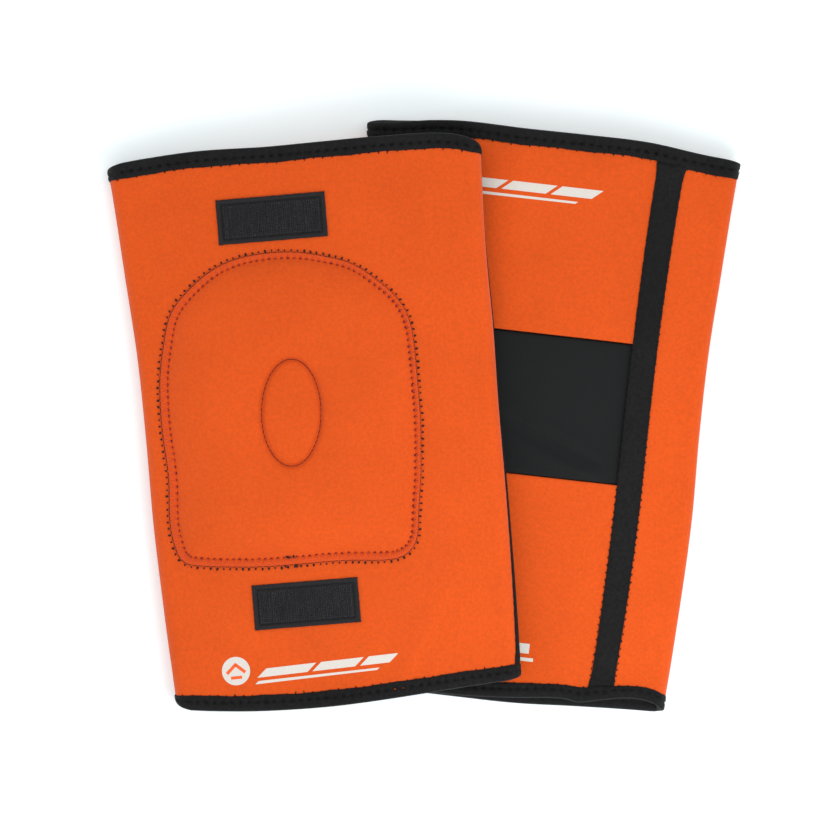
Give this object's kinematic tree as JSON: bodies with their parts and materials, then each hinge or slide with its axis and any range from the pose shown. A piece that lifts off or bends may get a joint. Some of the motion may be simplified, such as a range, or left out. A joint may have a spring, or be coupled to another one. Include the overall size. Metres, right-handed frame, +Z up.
{
  "type": "pull-on knee pads",
  "caption": "Pull-on neoprene knee pads lying flat, one front up and overlapping, one back up, with cushions, hook patches and bound mouths.",
  "frame": {"origin": "middle of the bottom of the box round both pads, on the table", "axes": "+Z up through the pads' thickness, +Y from the calf ends toward the thigh ends, and +X from the upper pad toward the lower pad, as seen from above"},
  "size_m": [0.3852, 0.359, 0.0496],
  "materials": {
    "orange_neoprene": "matte",
    "black_tape": "matte",
    "black_stretch": "matte",
    "black_hook": "matte",
    "grey_foam": "matte"
  },
  "bodies": {
    "lower_pad": {"lower_pad_front_panel": "orange_neoprene", "lower_pad_thigh_panel": "orange_neoprene", "lower_pad_stretch_panel": "black_stretch", "lower_pad_calf_panel": "orange_neoprene", "lower_pad_left_seam_tape": "black_tape", "lower_pad_right_seam_tape": "black_tape", "lower_pad_thigh_binding": "black_tape", "lower_pad_calf_binding": "black_tape", "lower_pad_cushion_cover": "orange_neoprene", "lower_pad_cushion_foam": "grey_foam", "lower_pad_thigh_hook_patch": "black_hook", "lower_pad_calf_hook_patch": "black_hook"},
    "upper_pad": {"upper_pad_front_panel": "orange_neoprene", "upper_pad_thigh_panel": "orange_neoprene", "upper_pad_stretch_panel": "black_stretch", "upper_pad_calf_panel": "orange_neoprene", "upper_pad_left_seam_tape": "black_tape", "upper_pad_right_seam_tape": "black_tape", "upper_pad_thigh_binding": "black_tape", "upper_pad_calf_binding": "black_tape", "upper_pad_cushion_cover": "orange_neoprene", "upper_pad_cushion_foam": "grey_foam", "upper_pad_thigh_hook_patch": "black_hook", "upper_pad_calf_hook_patch": "black_hook"}
  },
  "joints": [
    {"name": "upper_pad_lift", "type": "slide", "parent": "lower_pad", "child": "upper_pad", "axis": [0, 0, 1], "range_m": [0, 0.25]}
  ]
}
